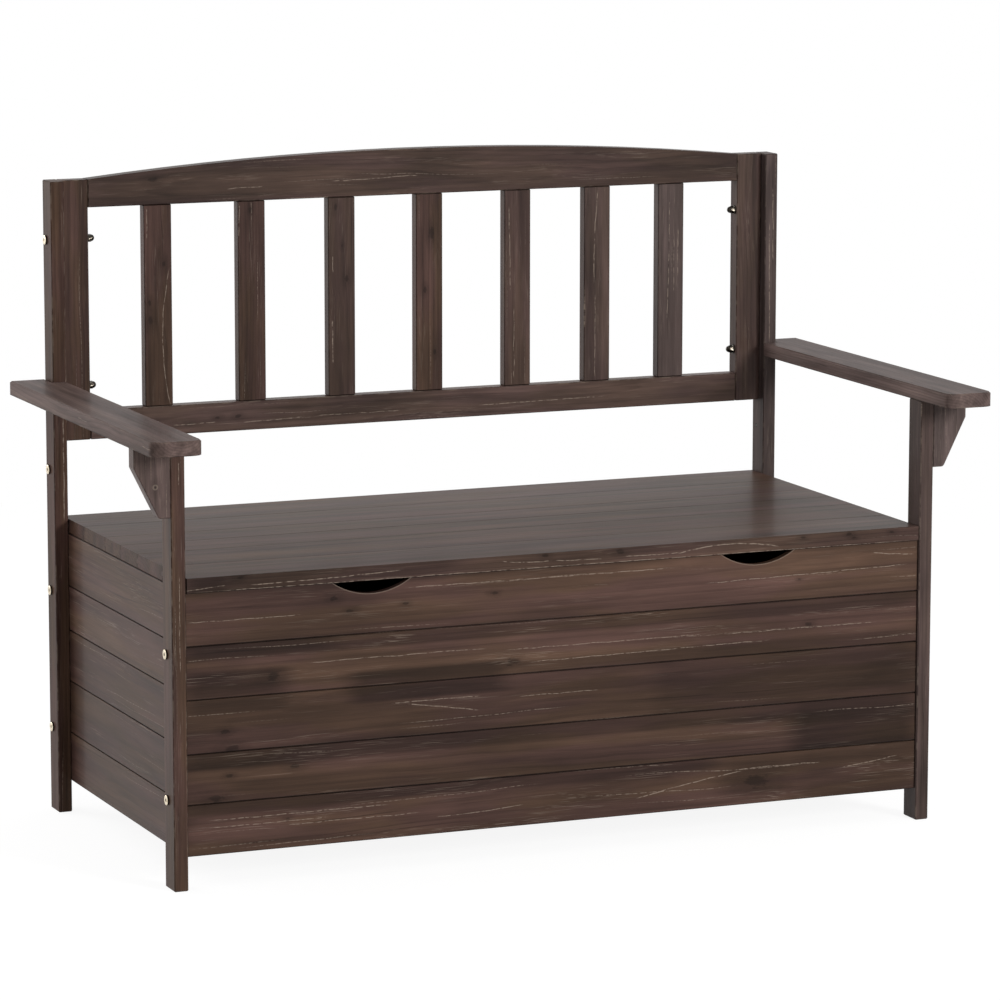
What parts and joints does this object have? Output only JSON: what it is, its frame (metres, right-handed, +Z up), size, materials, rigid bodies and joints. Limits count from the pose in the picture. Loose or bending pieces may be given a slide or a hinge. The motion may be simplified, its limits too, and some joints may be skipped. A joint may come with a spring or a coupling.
{
  "type": "garden storage bench",
  "caption": "Slatted-back garden bench of dark-stained boards, with flat armrests and a hinged seat lid over a storage box for cushions",
  "frame": {"origin": "On the floor, under the middle of the bench's bounding box.", "axes": "+X runs along the seat, to the right of someone who faces the bench, +Y runs from the seat's front edge to the backrest, +Z is up."},
  "size_m": [1.12, 0.5728, 0.8449],
  "materials": {
    "stained_wood": "dark brown stain under a semi-gloss clear coat",
    "inner_wood": "the same dark stain, rubbed thinner",
    "bare_wood": "bare beech",
    "brass": "pale yellow-passivated bolt heads",
    "bronze": "dark bronzed cap nuts",
    "zinc_steel": "zinc-plated steel"
  },
  "bodies": {
    "frame": {"arm_bracket_left": "stained_wood", "arm_bracket_right": "stained_wood", "arm_hanger_bolts": "zinc_steel", "armrest_left": "stained_wood", "armrest_right": "stained_wood", "back_board_1": "stained_wood", "back_board_2": "stained_wood", "back_board_3": "stained_wood", "back_board_4": "stained_wood", "back_board_5": "stained_wood", "backrest_bottom_rail": "stained_wood", "backrest_slat_1": "stained_wood", "backrest_slat_2": "stained_wood", "backrest_slat_3": "stained_wood", "backrest_slat_4": "stained_wood", "backrest_slat_5": "stained_wood", "backrest_slat_6": "stained_wood", "backrest_slat_7": "stained_wood", "backrest_stile_left": "stained_wood", "backrest_stile_right": "stained_wood", "backrest_top_rail": "stained_wood", "cap_nuts": "bronze", "dowels": "bare_wood", "floor_boards": "inner_wood", "floor_ledgers": "inner_wood", "frame_bolts": "brass", "frame_screws": "zinc_steel", "front_board_1": "stained_wood", "front_board_2": "stained_wood", "front_board_3": "stained_wood", "front_board_4": "stained_wood", "front_board_5": "stained_wood", "front_corner_battens": "inner_wood", "front_post_left": "stained_wood", "front_post_right": "stained_wood", "hinge_fixed_leaves": "zinc_steel", "hinge_pins": "zinc_steel", "hinge_rail": "inner_wood", "left_side_board_1": "stained_wood", "left_side_board_2": "stained_wood", "left_side_board_3": "stained_wood", "left_side_board_4": "stained_wood", "left_side_board_5": "stained_wood", "rear_corner_battens": "inner_wood", "rear_post_left": "stained_wood", "rear_post_right": "stained_wood", "right_side_board_1": "stained_wood", "right_side_board_2": "stained_wood", "right_side_board_3": "stained_wood", "right_side_board_4": "stained_wood", "right_side_board_5": "stained_wood"},
    "lid": {"lid_battens": "inner_wood", "lid_board_1": "stained_wood", "lid_board_2": "stained_wood", "lid_board_3": "stained_wood", "lid_board_4": "stained_wood", "lid_board_5": "stained_wood", "lid_board_6": "stained_wood", "lid_screws": "zinc_steel", "hinge_lid_leaves": "zinc_steel"}
  },
  "joints": [
    {"name": "lid_hinge", "type": "hinge", "parent": "frame", "child": "lid", "pos_m": [0, 0.28368, 0.36675], "axis": [-1, 0, 0], "range_deg": [0, 70]}
  ]
}
